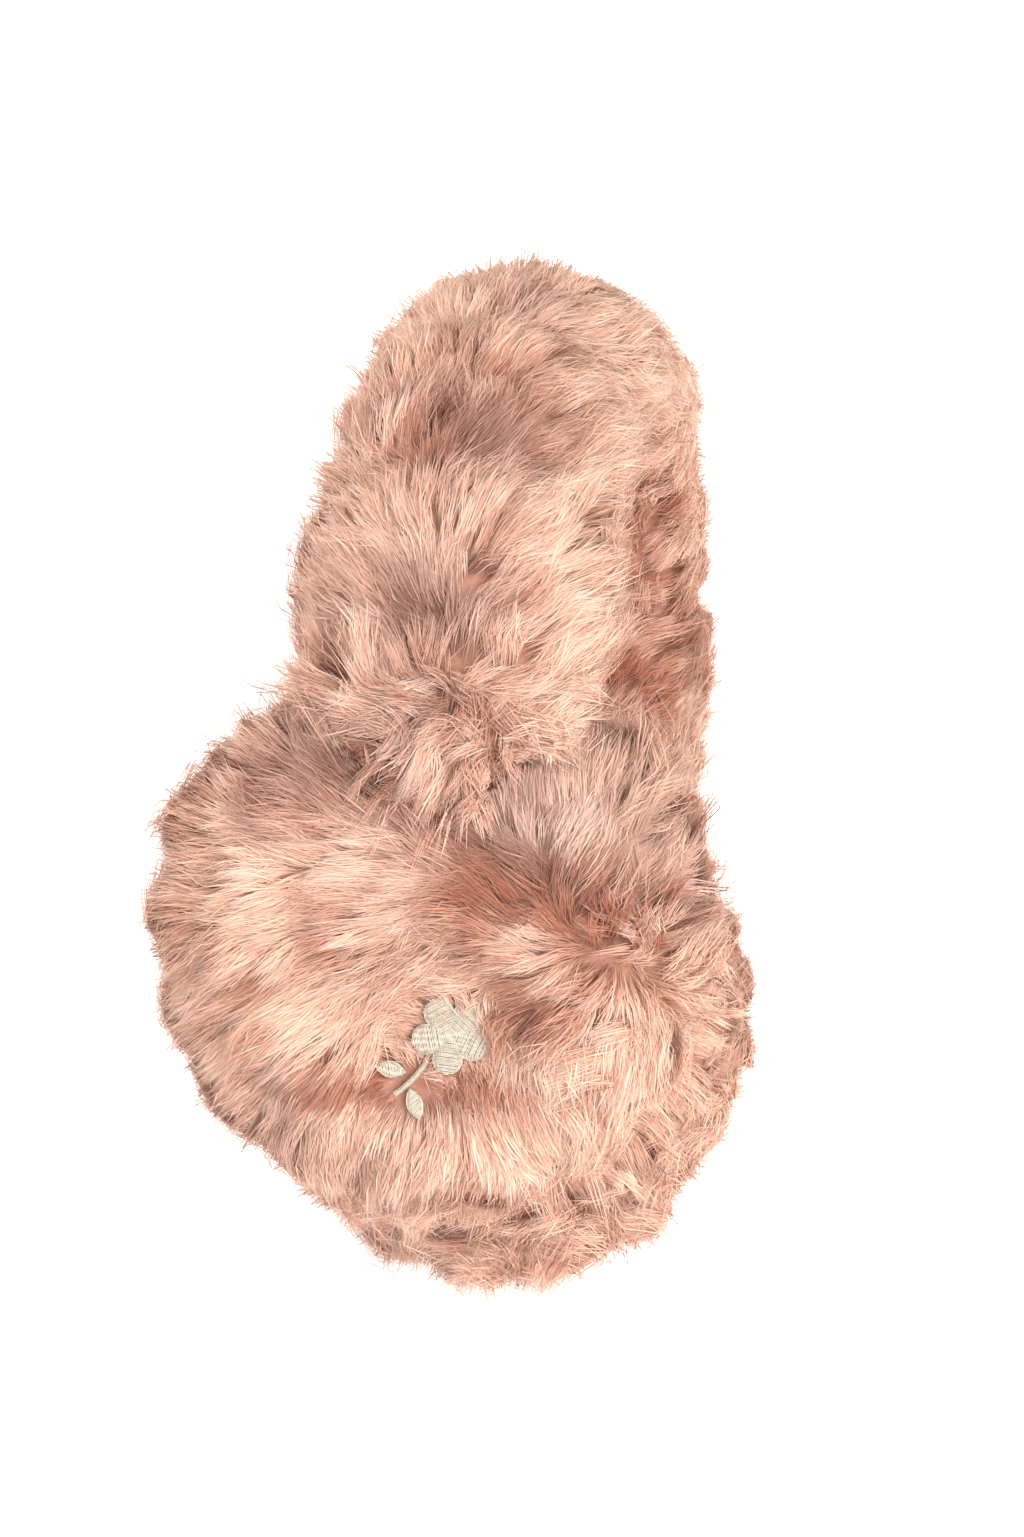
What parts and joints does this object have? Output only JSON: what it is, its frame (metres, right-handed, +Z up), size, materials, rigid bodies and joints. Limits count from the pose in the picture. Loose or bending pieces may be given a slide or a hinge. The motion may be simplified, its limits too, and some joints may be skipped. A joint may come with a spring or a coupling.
{
  "type": "fur earmuffs",
  "caption": "Fluffy fur earmuffs: two round padded ear cups on a gathered fur-covered spring headband, lying on one side, with a small embroidered blossom.",
  "frame": {"origin": "on the table, under the middle of the pair as it lies on its left side", "axes": "+Z up from the table, +Y towards the crown of the headband, +X towards the wearer's front"},
  "size_m": [0.1342, 0.251, 0.1896],
  "materials": {
    "fur": "deep soft pile, dusty pink with paler tips",
    "thread": "ivory satin stitch"
  },
  "bodies": {
    "root": {"headband_sleeve": "fur", "cup_right_outer": "fur", "cup_right_inner": "fur", "cup_left_outer": "fur", "cup_left_inner": "fur", "embroidered_blossom": "thread", "embroidered_stem": "thread", "embroidered_leaf_back": "thread", "embroidered_leaf_front": "thread"}
  },
  "joints": []
}
